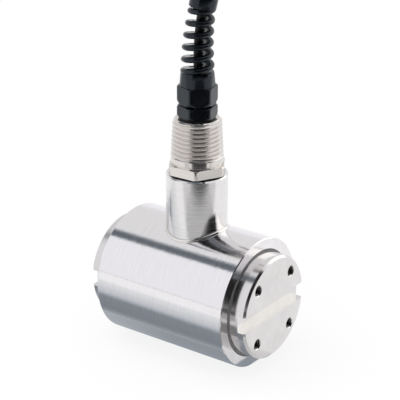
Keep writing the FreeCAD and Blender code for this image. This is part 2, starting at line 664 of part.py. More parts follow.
def smooth_wire(points):
    """Straight runs joined by tangent arcs, each as large as its two runs allow."""
    edges = []
    radii = []
    start = points[0]
    for before, corner, after in zip(points, points[1:], points[2:]):
        arriving = (corner - before).normalize()
        leaving = (after - corner).normalize()
        half_turn = arriving.getAngle(leaving) / 2
        reach = 0.45 * min((corner - before).Length, (after - corner).Length)
        radius = reach / math.tan(half_turn)
        inward = (leaving - arriving).normalize()
        first = corner - arriving * reach
        last = corner + leaving * reach
        middle = corner + inward * (radius / math.cos(half_turn) - radius)
        edges.append(Part.LineSegment(start, first).toShape())
        edges.append(Part.Arc(first, middle, last).toShape())
        radii.append(radius)
        start = last
    edges.append(Part.LineSegment(start, points[-1]).toShape())
    return Part.Wire(edges), radii


def round_sweep(name, points, radius):
    """A round wire along the points, as one solid."""
    path, radii = smooth_wire(points)
    section = Part.Wire(Part.Circle(points[0], points[1] - points[0], radius).toShape())
    thing = doc.addObject("Part::Feature", name)
    thing.Shape = path.makePipeShell([section], True, False)
    whole = math.pi * radius ** 2 * path.Length
    print("%-18s path %.0f mm, smallest bend %.1f mm, volume %.3f of its section times its length"
          % (name, path.Length, min(radii), thing.Shape.Volume / whole))
    return thing


def conductor(name, along, across, terminal):
    """Insulated conductor from the stripped cable down the neck to its terminal on the board."""
    offset = value("core_diameter") / 2 + value("core_gap")
    x = value("middle") + along * offset
    y = across * offset
    top = cable_foot()
    turn_height = value("bore") + value("core_turn" if along > 0 else "core_turn_rear")
    board_face = value("board_face")
    reach = value("board_middle")
    route = [
        FreeCAD.Vector(x, y, top),
        FreeCAD.Vector(x, y, turn_height),
        FreeCAD.Vector(board_face + value("core_landing"), terminal, reach),
        FreeCAD.Vector(board_face, terminal, reach),
    ]
    return round_sweep(name, route, value("core_diameter") / 2)


def cable_foot():
    """Height of the cable's stripped end."""
    return value("collar_top") - value("cable_strip")


def behind(away, aside, height):
    """A point seen from the neck's axis: how far behind it, how far to the side, and how high."""
    heading = math.radians(value("cable_heading"))
    forward = FreeCAD.Vector(math.cos(heading), math.sin(heading), 0)
    sideways = FreeCAD.Vector(math.sin(heading), -math.cos(heading), 0)
    neck = FreeCAD.Vector(value("middle"), 0, 0)
    return neck + forward * away + sideways * aside + FreeCAD.Vector(0, 0, height)


def cable_route():
    """Free cable: up out of the spiral, over in a loose bow, down behind the neck and onto its coil."""
    top = value("collar_top")
    floor = -value("outer")
    coil_top = floor + value("coil_high")
    away = value("coil_away")
    aside = value("coil_aside")
    return [
        behind(0, 0, top),
        behind(0, 0, top + 10),
        behind(4.0, 2.2, top + 22),
        behind(14.8, 3.8, top + 30),
        behind(28.2, 3.8, top + 30),
        behind(38.6, 3.2, top + 22),
        behind(43, 2.7, top + 9),
        behind(44.8, 2.3, top - 11),
        behind(45.6, 0.8, top - 35),
        behind(46, -1.2, top - 62),
        behind(46.8, -5.5, top - 87),
        behind(away - 10.2, aside - 15.6, coil_top + 33),
        behind(away - 9.5, aside - 20.4, coil_top + 21),
        behind(away - 7.2, aside - 22.9, coil_top + 11.4),
        behind(away - 2.8, aside - 24.2, coil_top + 4.0),
        behind(away + 5.2, aside - 23.6, coil_top - 0.9),
        behind(away + 14.2, aside - 19.5, coil_top - 1.8),
    ]


def cable_coil():
    """The rest of the cable: a neat round coil, lying level with the underside of the tube."""
    centre = behind(value("coil_away"), value("coil_aside"), -value("outer"))
    outer = (value("coil_middle") + value("coil_wide")) / 2
    inner = (value("coil_middle") - value("coil_wide")) / 2
    up = FreeCAD.Vector(0, 0, 1)
    ring = Part.makeCylinder(outer, value("coil_high"), centre, up)
    thing = doc.addObject("Part::Feature", "cable_coil")
    thing.Shape = ring.cut(Part.makeCylinder(inner, value("coil_high"), centre, up))
    return thing


def cable_run(coil):
    """The stretch between the spiral and the coil, ending on top of the coil."""
    run = round_sweep("cable_run", cable_route(), value("cable_diameter") / 2)
    run.Shape = run.Shape.cut(coil.Shape)
    return run


coil = cable_coil()
nodes = {
    "measuring_body": measuring_body(),
    "housing_tube": housing_tube(),
    "seal_ring_rear": seal_ring("seal_ring_rear", "%s + Sizes.seal_inset" % TUBE_REAR),
    "seal_ring_front": seal_ring("seal_ring_front", "%s - Sizes.seal_inset" % TUBE_FRONT),
    "cable_neck": cable_neck(),
    "neck_weld": neck_weld(),
    "nipple_seal": nipple_seal(),
    "conduit_nipple": conduit_nipple(),
    "gland_washer": gland_washer(),
    "gland_body": gland_body(),
    "gland_insert": gland_insert(),
    "gland_nut": gland_nut(),
    "cable_entry": rod("cable_entry", CABLE, "Sizes.cable_strip", x=MIDDLE,
                       z="%s - Sizes.cable_strip" % COLLAR_TOP),
    "cable_run": cable_run(coil),
    "cable_coil": coil,
    "terminal_board": terminal_board(),
    "board_spacers": board_spacers(),
    "board_screws": board_screws(),
}
for quarter, side in enumerate(("top", "left", "bottom", "right")):
    nodes["gauge_" + side] = strain_gauge("gauge_" + side, quarter)
for colour, along, across, terminal in (
    ("red", -1, 1, 3.0),
    ("white", 1, 1, 7.5),
    ("green", -1, -1, -3.0),
    ("black", 1, -1, -7.5),
):
    nodes["core_" + colour] = conductor("core_" + colour, along, across, terminal)

doc.recompute()
os.makedirs("parts", exist_ok=True)
for thing in doc.Objects:
    if "Invalid" in thing.State or "Error" in thing.State:
        raise RuntimeError("%s did not build: %s" % (thing.Name, thing.State))
for label, thing in nodes.items():
    thing.Label = label
    shape = thing.Shape
    if shape.isNull() or not shape.isValid():
        raise RuntimeError("%s has no sound shape" % label)
    print("%-18s solids %d  volume %.0f mm3" % (label, len(shape.Solids), shape.Volume))
    shape.exportStep("parts/%s.step" % label)
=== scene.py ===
import math

import bmesh
import bpy
from mathutils import Matrix, Vector


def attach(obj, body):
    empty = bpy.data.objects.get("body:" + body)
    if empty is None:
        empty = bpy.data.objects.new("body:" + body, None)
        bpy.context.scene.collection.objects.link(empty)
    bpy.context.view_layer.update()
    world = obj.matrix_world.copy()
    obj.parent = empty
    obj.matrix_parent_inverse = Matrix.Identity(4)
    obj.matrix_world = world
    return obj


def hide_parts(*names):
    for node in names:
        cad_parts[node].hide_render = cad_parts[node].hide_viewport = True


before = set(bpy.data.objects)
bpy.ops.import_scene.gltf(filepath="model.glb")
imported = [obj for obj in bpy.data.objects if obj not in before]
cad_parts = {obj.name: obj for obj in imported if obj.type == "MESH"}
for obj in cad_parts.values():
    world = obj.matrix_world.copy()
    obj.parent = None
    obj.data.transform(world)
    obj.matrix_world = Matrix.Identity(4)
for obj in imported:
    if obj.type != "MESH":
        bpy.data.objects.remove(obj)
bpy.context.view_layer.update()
MM = 0.001

# Frame: +X is the torque axis, from the rear mounting face to the front one, and +Z runs up the cable neck.
NECK_X = 38.75
REAR_FACE = 0.0
FRONT_FACE = 77.5
TUBE_FRONT = 70.0
TUBE_RADIUS = 27.25
FLOOR_Z = -TUBE_RADIUS
CABLE = 3.3
COLLAR_TOP = 123.2
UP = Vector((0, 0, 1))

# Camera, as fitted to the photograph: degrees, millimetres.
AZIMUTH = 35.65
ELEVATION = 22.32
ROLL = 0.317
DISTANCE = 610.36
TARGET = (32.11, 11.43, 32.06)
LENS = 131.4


def linear(red, green, blue):
    """A colour as it is seen, 0 to 255, in scene light."""
    return tuple(
        ((c / 255 + 0.055) / 1.055) ** 2.4 if c > 10 else c / 255 / 12.92
        for c in (red, green, blue)
    )


# Nodes of a material

def material(name, **settings):
    """A new material with its Principled shader, set by input name."""
    made = bpy.data.materials.new(name)
    made.use_nodes = True
    shader = made.node_tree.nodes["Principled BSDF"]
    for label, value in settings.items():
        shader.inputs[label.replace("_", " ")].default_value = value
    return made, shader


def node(tree, kind, **settings):
    """A shader node with its properties and its unlinked inputs."""
    made = tree.nodes.new(kind)
    for label, value in settings.items():
        if hasattr(made, label):
            setattr(made, label, value)
        else:
            made.inputs[label.replace("_", " ")].default_value = value
    return made


def streaks(tree, stretch, detail=3.0, seed=0.0):
    """Noise in object space, stretched by features per millimetre along X, Y and Z."""
    place = node(tree, "ShaderNodeTexCoord")
    scale = node(tree, "ShaderNodeMapping")
    scale.inputs["Scale"].default_value = [s / MM for s in stretch]
    scale.inputs["Location"].default_value = (seed, seed, seed)
    pattern = node(tree, "ShaderNodeTexNoise", Scale=1.0, Detail=detail, Roughness=0.6)
    tree.links.new(place.outputs["Object"], scale.inputs["Vector"])
    tree.links.new(scale.outputs["Vector"], pattern.inputs["Vector"])
    return pattern.outputs["Fac"]


def spread(tree, source, low, high, start=0.3, end=0.7):
    """Maps a pattern to a range of numbers."""
    made = node(tree, "ShaderNodeMapRange", From_Min=start, From_Max=end, To_Min=low, To_Max=high)
    tree.links.new(source, made.inputs["Value"])
    return made.outputs["Result"]


def tint(tree, source, dark, bright, start=0.3, end=0.7):
    """Maps a pattern to a run of colours."""
    made = node(tree, "ShaderNodeValToRGB")
    made.color_ramp.elements[0].position = start
    made.color_ramp.elements[0].color = (*dark, 1)
    made.color_ramp.elements[1].position = end
    made.color_ramp.elements[1].color = (*bright, 1)
    tree.links.new(source, made.inputs["Fac"])
    return made.outputs["Color"]


def relief(tree, shader, patterns):
    """Bumps from several patterns, each with its height in millimetres."""
    normal = None
    for source, height in patterns:
        bump = node(tree, "ShaderNodeBump", Strength=1.0, Distance=height * MM)
        tree.links.new(source, bump.inputs["Height"])
        if normal:
            tree.links.new(normal, bump.inputs["Normal"])
        normal = bump.outputs["Normal"]
    tree.links.new(normal, shader.inputs["Normal"])


def steel(name, along, dark, bright, rough, depth, line=7.0, polished=None, ripple=0.0):
    """Machined metal, its tool lines square to one axis ("X" or "Z").

    Polished is a place along X in millimetres and a roughness: beyond that place the metal is that smooth.
    Ripple is the height of the waves that a tool leaves along its lines.
    """
    made, shader = material(name, Metallic=1.0)
    tree = made.node_tree
    across = {"X": (1, 0, 0), "Z": (0, 0, 1)}[along]
    fine = streaks(tree, [line if a else 0.12 for a in across], detail=4.0)
    broad = streaks(tree, [1.6 if a else 0.05 for a in across], detail=2.0, seed=3.7)
    lines = streaks(tree, [1.1 if a else 0.04 for a in across], detail=3.0, seed=9.1)
    tree.links.new(tint(tree, fine, linear(*dark), linear(*bright)), shader.inputs["Base Color"])
    roughness = spread(tree, lines, *rough)
    if polished:
        split = node(tree, "ShaderNodeSeparateXYZ")
        place = node(tree, "ShaderNodeTexCoord")
        start, smooth = polished
        beyond = node(tree, "ShaderNodeMapRange", From_Min=(start - 0.01) * MM, From_Max=start * MM)
        choice = node(tree, "ShaderNodeMix", data_type="FLOAT", B=smooth)
        tree.links.new(place.outputs["Object"], split.inputs["Vector"])
        tree.links.new(split.outputs["X"], beyond.inputs["Value"])
        tree.links.new(beyond.outputs["Result"], choice.inputs["Factor"])
        tree.links.new(roughness, choice.inputs["A"])
        roughness = choice.outputs["Result"]
    tree.links.new(roughness, shader.inputs["Roughness"])
    patterns = [(fine, depth), (broad, depth * 2.5)]
    if ripple:
        patterns.append((streaks(tree, [1.8 if a else 0.35 for a in across], detail=2.0, seed=6.3), ripple))
    relief(tree, shader, patterns)
    return made


def moulded(name, colour, rough=(0.34, 0.5), grain=0.004, sheen=(1, 1, 1)):
    """Moulded plastic or rubber with a faint grain; sheen is the tint of its reflections."""
    made, shader = material(name, Specular_Tint=(*sheen, 1))
    tree = made.node_tree
    grains = streaks(tree, (5.0, 5.0, 5.0), detail=3.0)
    cloud = streaks(tree, (0.25, 0.25, 0.25), detail=3.0, seed=5.2)
    lighter = [c + 4 for c in colour]
    tree.links.new(tint(tree, cloud, linear(*colour), linear(*lighter)), shader.inputs["Base Color"])
    tree.links.new(spread(tree, cloud, *rough), shader.inputs["Roughness"])
    relief(tree, shader, [(grains, grain)])
    return made


# Meshes

def skin(work, rings, whole=True):
    """Faces between neighbouring rings of vertices, all the way round or without the last side."""
    for low, high in zip(rings, rings[1:]):
        count = len(low)
        for i in range(count if whole else count - 1):
            j = (i + 1) % count
            work.faces.new((low[i], low[j], high[j], high[i]))


def outward_mesh(name, work):
    """Turns finished faces into a mesh, all facing outward."""
    bmesh.ops.recalc_face_normals(work, faces=work.faces)
    mesh = bpy.data.meshes.new(name)
    work.to_mesh(mesh)
    work.free()
    return mesh


def finish_piece(name, mesh, look, angle=35.0, replaced=()):
    """Turns a mesh in millimetres into a piece that rides on the part."""
    mesh.transform(Matrix.Scale(MM, 4))
    mesh.materials.append(look)
    for face in mesh.polygons:
        face.use_smooth = True
    mesh.set_sharp_from_angle(angle=math.radians(angle))
    piece = bpy.data.objects.new(name, mesh)
    bpy.context.collection.objects.link(piece)
    if replaced:
        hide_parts(*replaced)
    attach(piece, "root")
    return piece


def shell(name, rows, angles, centre=(0.0, 0.0)):
    """A closed mesh skinned over rings: each row gives (radius, height) at an angle in radians.

    The angles run once round, ends included, so a row that climbs by one thread meets the next.
    """
    work = bmesh.new()
    rings = []
    for row in rows:
        ring = []
        for angle in angles:
            radius, height = row(angle)
            x = centre[0] + radius * math.cos(angle)
            y = centre[1] + radius * math.sin(angle)
            ring.append(work.verts.new((x, y, height)))
        rings.append(ring)
    skin(work, rings + rings[:1], whole=False)
    bmesh.ops.remove_doubles(work, verts=work.verts, dist=1e-4)
    bmesh.ops.dissolve_degenerate(work, edges=work.edges, dist=1e-5)
    return outward_mesh(name, work)


def flat(radius, height):
    """A row of a shell that is a plain circle."""
    return lambda angle: (radius, height)


def hex_corner(flats):
    """Distance of a hexagon's corners from its axis."""
    return flats / 2 / math.cos(math.radians(30))


def hexed(height, flats, turn, corner, cone):
    """A row of a shell that is a hexagon, its corners rounded at one radius and cut by a cone at another."""
    def row(angle):
        off = (math.degrees(angle) - turn) % 60 - 30
        side = flats / 2 / math.cos(math.radians(off))
        return min(side, corner, cone), height
    return row


def sweep(name, path, section, closed=False):
    """A mesh of one section, a list of (across, up), carried along frames (origin, across, up)."""
    work = bmesh.new()
    rings = [[work.verts.new(origin + side * a + up * u) for a, u in section] for origin, side, up in path]
    if closed:
        skin(work, rings + rings[:1])
    else:
        skin(work, rings)
        work.faces.new(rings[0])
        work.faces.new(rings[-1])
    return outward_mesh(name, work)


def circle(radius, count):
    """A round section."""
    return [(radius * math.cos(2 * math.pi * i / count), radius * math.sin(2 * math.pi * i / count))
            for i in range(count)]


# The bend protector leans a little sideways, square to the line of sight.
SIDEWAYS = Vector((math.cos(math.radians(AZIMUTH)), math.sin(math.radians(AZIMUTH)), 0))
FORWARD = Vector((-math.sin(math.radians(AZIMUTH)), math.cos(math.radians(AZIMUTH)), 0))
LEAN_START = 98.0
LEAN_RATE = 0.0044


def leaned(height):
    """Centre of the bend protector at a height."""
    off = LEAN_RATE * max(0.0, height - LEAN_START) ** 2
    return Vector((NECK_X, 0, height)) + SIDEWAYS * off


def leaned_frame(height):
    """The protector's own axes at a height: sideways, forward, up."""
    slope = 2 * LEAN_RATE * max(0.0, height - LEAN_START)
    up = (UP + SIDEWAYS * slope).normalized()
    side = (SIDEWAYS - up * SIDEWAYS.dot(up)).normalized()
    return side, up.cross(side), up


# Finishes

TUBE_STEEL = steel(
    "steel_ground_tube", "X", dark=(228, 226, 227), bright=(241, 239, 240),
    rough=(0.07, 0.13), depth=0.0004, polished=(69.6, 0.13), ripple=0.04,
)
FACE_STEEL = steel(
    "steel_turned_face", "X", dark=(215, 213, 212), bright=(226, 224, 223),
    rough=(0.25, 0.35), depth=0.0002, polished=(69.6, 0.16),
)
NECK_STEEL = steel(
    "steel_turned_neck", "Z", dark=(222, 220, 219), bright=(236, 234, 233),
    rough=(0.1, 0.2), depth=0.0004, line=5.0, ripple=0.006,
)
# Painted shade: the threads in the bolt holes are coloured far darker than the face's steel, standing in for
# the shade deep in the holes.
HOLE_STEEL_PAINTED_SHADE = steel(
    "steel_tapped_hole_painted_shade", "X", dark=(56, 54, 52), bright=(116, 114, 112),
    rough=(0.1, 0.2), depth=0.0003,
)
NIPPLE_STEEL = steel(
    "steel_thread", "Z", dark=(210, 205, 200), bright=(226, 222, 218),
    rough=(0.1, 0.18), depth=0.0003,
)
WELD_STEEL = steel(
    "steel_weld", "Z", dark=(224, 221, 217), bright=(240, 238, 234),
    rough=(0.08, 0.14), depth=0.0003,
)
BLACK_NYLON = moulded(
    "nylon_black", (2, 3, 5),
    rough=(0.14, 0.22), sheen=(0.76, 0.88, 1.0),
)
CABLE_SKIN = moulded("cable_sheath_black", (5, 5, 7), rough=(0.38, 0.5), grain=0.003)
RUBBER = moulded("rubber_black", (8, 8, 9), rough=(0.6, 0.75))
SEAL_GREY = moulded("seal_grey", (112, 112, 111), rough=(0.25, 0.35))
TIE_NYLON = moulded("nylon_tie", (14, 14, 16), rough=(0.3, 0.4))
BOARD_GREEN = moulded("board_green", (18, 74, 44), rough=(0.3, 0.4), grain=0.002)
SPACER_BRASS = steel(
    "brass_spacer", "X", dark=(186, 152, 88), bright=(216, 184, 116),
    rough=(0.2, 0.3), depth=0.0003,
)
GAUGE_FOIL = moulded("gauge_film_amber", (176, 112, 38), rough=(0.25, 0.35), grain=0.001)
SCREW_STEEL = steel(
    "steel_screw", "X", dark=(176, 176, 176), bright=(212, 212, 212),
    rough=(0.2, 0.3), depth=0.0003,
)
CORE_SKINS = {
    "red": moulded("core_skin_red", (170, 22, 20), grain=0.001),
    "white": moulded("core_skin_white", (226, 226, 222), grain=0.001),
    "green": moulded("core_skin_green", (22, 110, 52), grain=0.001),
    "black": moulded("core_skin_black", (16, 16, 18), grain=0.001),
}

LOOKS = {
    "housing_tube": TUBE_STEEL,
    "measuring_body": FACE_STEEL,
    "cable_neck": NECK_STEEL,
    "gland_washer": RUBBER,
    "gland_insert": RUBBER,
    "nipple_seal": RUBBER,
    "seal_ring_rear": SEAL_GREY,
    "seal_ring_front": SEAL_GREY,
    "terminal_board": BOARD_GREEN,
    "board_spacers": SPACER_BRASS,
    "board_screws": SCREW_STEEL,
    "gauge_top": GAUGE_FOIL,
    "gauge_left": GAUGE_FOIL,
    "gauge_bottom": GAUGE_FOIL,
    "gauge_right": GAUGE_FOIL,
    "core_red": CORE_SKINS["red"],
    "core_white": CORE_SKINS["white"],
    "core_green": CORE_SKINS["green"],
    "core_black": CORE_SKINS["black"],
}
for label, look in LOOKS.items():
    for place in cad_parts[label].material_slots:
        place.material = look


# Threaded nipple

NIPPLE_FOOT = 40.0
NIPPLE_BORE = 4.5
SHANK_RADIUS = 10.2
HEX_FLATS = 22.0
HEX_FOOT = 50.5
HEX_TOP = 54.4
THREAD_FOOT = 57.3
NIPPLE_TOP = 73.3
THREAD_PITCH = 25.4 / 14
THREAD_DEPTH = 1.05
THREAD_CREST = 0.3
THREAD_ROOT = 0.25
THREAD_STEPS = 16
THREAD_RADIUS = 10.75
THREAD_TAPER = 0.8
THREAD_RUN_OUT = 1.2
THREAD_END = 8.85
SOCKET_FOOT = 64.3
SOCKET_RADIUS = 6.2
NIPPLE_TURN = 2.4


def thread_radius(height, phase):
    """Taper thread: flat crests and roots with straight flanks, run out at its foot."""
    share = (height - THREAD_FOOT) / (NIPPLE_TOP - THREAD_FOOT)
    crest = THREAD_RADIUS - THREAD_TAPER * share
    off_crest = THREAD_PITCH * min(phase % 1, 1 - phase % 1)
    flank = (THREAD_PITCH - THREAD_CREST - THREAD_ROOT) / 2
    cut = min(1.0, max(0.0, (off_crest - THREAD_CREST / 2) / flank))
    fade = min(1.0, max(0.0, (height - THREAD_FOOT) / THREAD_RUN_OUT))
    radius = crest - THREAD_DEPTH * cut * fade
    return min(radius, THREAD_END + NIPPLE_TOP - height)


def thread_row(phase):
    """A row that climbs along the thread, held between the thread's ends."""
    def row(angle):
        turns = phase + (angle - math.radians(NIPPLE_TURN)) / (2 * math.pi) - 1
        height = min(NIPPLE_TOP, max(THREAD_FOOT, THREAD_FOOT + THREAD_PITCH * turns))
        return thread_radius(height, phase), height
    return row


def nipple_rows():
    """Rows up the outside of the nipple and down its bore."""
    corner = hex_corner(HEX_FLATS)

    def side(height, cut):
        return hexed(height, HEX_FLATS, NIPPLE_TURN, corner - 0.1, corner + cut)

    bevel = [(0.85, 0.0), (0.55, -0.2), (0.3, -0.4), (0.1, -0.6), (0.0, -0.8)]
    rows = [flat(NIPPLE_BORE, NIPPLE_FOOT)]
    rows += [flat(SHANK_RADIUS, NIPPLE_FOOT), flat(SHANK_RADIUS, HEX_FOOT - 0.1)]
    rows += [side(HEX_FOOT, -0.35), side(HEX_FOOT + 0.35, 0.0)]
    rows += [side(HEX_TOP - down, cut) for down, cut in bevel]
    rows += [flat(11.0, HEX_TOP + 0.02), flat(10.55, HEX_TOP + 0.04)]
    rows += [flat(10.5, HEX_TOP + 0.5), flat(10.7, HEX_TOP + 0.7)]
    rows += [flat(10.7, THREAD_FOOT - 0.05), flat(THREAD_RADIUS, THREAD_FOOT)]
    turns = (NIPPLE_TOP - THREAD_FOOT) / THREAD_PITCH
    rows += [thread_row(step / THREAD_STEPS) for step in range(int((turns + 1) * THREAD_STEPS) + 2)]
    rows += [flat(THREAD_END, NIPPLE_TOP), flat(SOCKET_RADIUS + 0.1, NIPPLE_TOP)]
    rows += [flat(SOCKET_RADIUS, NIPPLE_TOP - 0.1), flat(SOCKET_RADIUS, SOCKET_FOOT)]
    rows += [flat(NIPPLE_BORE, SOCKET_FOOT)]
    return rows


def ring_angles(count, turn=0.0):
    """Even angles that start at a turn in degrees."""
    return [math.radians(turn + 360 * i / count) for i in range(count)]


def round_angles(count, turn=0.0):
    """Even angles once round, both ends included."""
    return [*ring_angles(count, turn), math.radians(turn + 360)]


finish_piece(
    "threaded_nipple", shell("threaded_nipple", nipple_rows(), round_angles(180, NIPPLE_TURN), (NECK_X, 0)),
    NIPPLE_STEEL, angle=40, replaced=["conduit_nipple"],
)


# Cable gland and bend protector

GLAND_FLATS = 14.5
GLAND_CORNER = hex_corner(GLAND_FLATS)
GLAND_ROUNDING = 0.18
GLAND_BORE = 2.6
SCREW_FOOT = 64.9
SPIGOT_TOP = 84.8
GLAND_FOOT = 73.8
GLAND_TOP = 78.8
GLAND_TURN = 43.0
NUT_FOOT = 79.1
CONE_FOOT = 86.8
CONE_TOP = 92.6
NUT_TURN = 43.0
STRIP_PITCH = 4.7
STRIP_HEIGHT = 2.4
STRIP_WALL = 3.6
STRIP_BORE = 2.1
STRIP_START = -634.0
STRIP_END = 1600.0
STRIP_STEP = 6.0
STRIP_LOW = 97.4
STRIP_LOW_TURN = -144.35
STRIP_RADIUS = 6.6
STRIP_TAPER = 1.05
STRIP_NOSE = 1.15
STRIP_EDGE = 0.25
TAPER_FOOT = 98.0
TAPER_REACH = 19.0


def gland_side(height, cut, turn):
    """A row with the outline that the gland's hexagon and its nut share."""
    return hexed(height, GLAND_FLATS, turn, GLAND_CORNER - GLAND_ROUNDING, GLAND_CORNER + cut)


def gland_rows():
    """Rows round the gland's screw, hexagon and spigot, and down its bore."""
    lower = [(0.0, -1.0), (0.12, -0.75), (0.5, -0.45), (1.0, -0.2), (1.6, 0.0)]
    upper = [(1.1, 0.0), (0.65, -0.25), (0.3, -0.5), (0.1, -0.75), (0.0, -1.05)]
    rows = [flat(GLAND_BORE, SCREW_FOOT)]
    rows += [flat(SOCKET_RADIUS, SCREW_FOOT), flat(SOCKET_RADIUS, GLAND_FOOT - 0.05)]
    rows += [gland_side(GLAND_FOOT + up, cut, GLAND_TURN) for up, cut in lower]
    rows += [gland_side(GLAND_TOP - down, cut, GLAND_TURN) for down, cut in upper]
    rows += [flat(5.55, GLAND_TOP + 0.02), flat(5.5, GLAND_TOP + 0.1), flat(5.5, SPIGOT_TOP)]
    rows += [flat(4.4, SPIGOT_TOP), flat(3.4, SPIGOT_TOP - 4), flat(GLAND_BORE, SPIGOT_TOP - 4)]
    return rows


def nut_rows():
    """Rows up the nut and its faceted cone, over the rim and down the inside."""
    def coned(height, share):
        size = 13.9 - 0.5 * share
        return hexed(height, size, NUT_TURN, hex_corner(size), 7.2 - 0.5 * share)

    lower = [(0.02, -1.25), (0.2, -1.0), (0.7, -0.72), (1.3, -0.35), (1.95, 0.0)]
    upper = [(0.9, 0.0), (0.45, -0.12), (0.2, -0.35), (0.05, -0.6), (0.0, -0.85)]
    rows = [flat(5.6, NUT_FOOT), flat(6.6, NUT_FOOT)]
    rows += [gland_side(NUT_FOOT + up, cut, NUT_TURN) for up, cut in lower]
    rows += [gland_side(CONE_FOOT - down, cut, NUT_TURN) for down, cut in upper]
    rows += [coned(CONE_FOOT + 0.02, 0.0), coned(CONE_FOOT + 0.3, 0.05)]
    rows += [coned(CONE_FOOT + (CONE_TOP - CONE_FOOT) * share, share) for share in (0.3, 0.6, 0.85)]
    rows += [flat(6.62, CONE_TOP - 0.3), flat(6.5, CONE_TOP - 0.08), flat(6.3, CONE_TOP)]
    rows += [flat(3.9, CONE_TOP), flat(3.7, CONE_TOP - 0.2), flat(3.7, 89.7), flat(5.6, 86.2)]
    return rows


def strip_frame(degrees):
    """The moulded strip after so many degrees: its middle, outward scaled to its wall there, and up."""
    height = STRIP_LOW + STRIP_PITCH * (degrees - STRIP_LOW_TURN) / 360
    side, fore, up = leaned_frame(height)
    angle = math.radians(degrees - AZIMUTH)
    outward = side * math.cos(angle) + fore * math.sin(angle)
    outer = STRIP_RADIUS - STRIP_TAPER * (height - TAPER_FOOT) / TAPER_REACH
    middle = leaned(height) + outward * (outer + STRIP_BORE) / 2
    return middle, outward * (outer - STRIP_BORE) / STRIP_WALL, up


def strip_section():
    """The strip's cross-section: flat inside, with a full round outside."""
    half = STRIP_HEIGHT / 2
    back = -STRIP_WALL / 2
    nose = STRIP_WALL / 2
    points = [(back, -half + STRIP_EDGE), (back + STRIP_EDGE, -half)]
    for i in range(13):
        angle = math.radians(-90 + 180 * i / 12)
        points.append((nose - STRIP_NOSE + STRIP_NOSE * math.cos(angle), half * math.sin(angle)))
    points += [(back + STRIP_EDGE, half), (back, half - STRIP_EDGE)]
    return points


def leaned_shell(name, rows, count=96):
    """A mesh skinned over (radius, height) rings that follow the lean."""
    work = bmesh.new()
    rings = []
    for radius, height in rows:
        side, fore, up = leaned_frame(height)
        rings.append([work.verts.new(leaned(height) + (side * math.cos(a) + fore * math.sin(a)) * radius)
                      for a in ring_angles(count)])
    skin(work, rings + rings[:1])
    return outward_mesh(name, work)


finish_piece(
    "gland_hexagon", shell("gland_hexagon", gland_rows(), round_angles(180, GLAND_TURN), (NECK_X, 0)),
    BLACK_NYLON, replaced=["gland_body"],
)
finish_piece(
    "protector_nut", shell("protector_nut", nut_rows(), round_angles(180, NUT_TURN), (NECK_X, 0)),
    BLACK_NYLON, replaced=["gland_nut"],
)
strip_steps = int((STRIP_END - STRIP_START) / STRIP_STEP)
strip_path = [strip_frame(STRIP_START + STRIP_STEP * i) for i in range(strip_steps + 1)]
finish_piece(
    "protector_spiral", sweep("protector_spiral", strip_path, strip_section()),
    BLACK_NYLON, angle=50, replaced=["gland_nut"],
)
collar_rows = [
    (1.75, COLLAR_TOP - 5), (5.3, COLLAR_TOP - 5), (5.5, COLLAR_TOP - 4.8), (5.5, COLLAR_TOP - 0.6),
    (5.3, COLLAR_TOP - 0.2), (4.9, COLLAR_TOP), (1.75, COLLAR_TOP),
]
finish_piece(
    "protector_collar", leaned_shell("protector_collar", collar_rows), BLACK_NYLON, replaced=["gland_nut"],
)


# Threads in the bolt holes

BOLT_REACH = 11.84
BOLT_PITCH = 0.8
BOLT_START = 0.5
BOLT_TURNS = 12
BOLT_STEPS = 24
BOLT_RIDGE = ((2.12, -0.34), (1.8, -0.07), (1.8, 0.07), (2.12, 0.34))


def bolt_threads(name, mouth, inward):
    """Helical ridges in the four holes of one face; inward is +1 or -1 along X."""
    work = bmesh.new()
    for across, upward in ((1, 1), (-1, 1), (-1, -1), (1, -1)):
        y, z = BOLT_REACH * across, BOLT_REACH * upward
        rings = []
        for i in range(BOLT_TURNS * BOLT_STEPS + 1):
            angle = 2 * math.pi * i / BOLT_STEPS
            along = mouth + inward * (BOLT_START + BOLT_PITCH * i / BOLT_STEPS)
            outward = Vector((0, math.cos(angle), math.sin(angle)))
            rings.append([work.verts.new(Vector((along + a, y, z)) + outward * r) for r, a in BOLT_RIDGE])
        skin(work, rings, whole=False)
    finish_piece(name, outward_mesh(name, work), HOLE_STEEL_PAINTED_SHADE, angle=30)


bolt_threads("bolt_threads_rear", REAR_FACE, 1)
bolt_threads("bolt_threads_front", FRONT_FACE, -1)


# Sealing compound in the ring gap between the tube's front end and the measuring body

GAP_OUTER = 22.42
GAP_INNER = 21.68
GAP_DEPTH = 1.3


def gap_path():
    """Frames round the torque axis at the mouth of the gap, their second direction into it."""
    mouth = Vector((TUBE_FRONT, 0, 0))
    inward = Vector((-1, 0, 0))
    return [(mouth, Vector((0, math.cos(angle), math.sin(angle))), inward) for angle in ring_angles(144)]


gap_section = [
    (GAP_OUTER, 0.06), ((GAP_OUTER + GAP_INNER) / 2, 0.12), (GAP_INNER, 0.06),
    (GAP_INNER, GAP_DEPTH), (GAP_OUTER, GAP_DEPTH),
]
finish_piece("gap_seal", sweep("gap_seal", gap_path(), gap_section, closed=True), SEAL_GREY, angle=50)


# Weld bead round the neck's foot

WELD_REACH = 12.75
WELD_RADIUS = 0.75
WELD_LIFT = 0.1


def weld_path():
    """Frames along the saddle between neck and tube."""
    path = []
    for angle in ring_angles(144):
        outward = Vector((math.cos(angle), math.sin(angle), 0))
        spot = outward * WELD_REACH
        height = math.sqrt(TUBE_RADIUS ** 2 - spot.y ** 2)
        path.append((Vector((NECK_X, 0, height + WELD_LIFT)) + spot, outward, UP))
    return path


finish_piece(
    "weld_bead", sweep("weld_bead", weld_path(), circle(WELD_RADIUS, 12), closed=True),
    WELD_STEEL, replaced=["neck_weld"],
)


# Cable

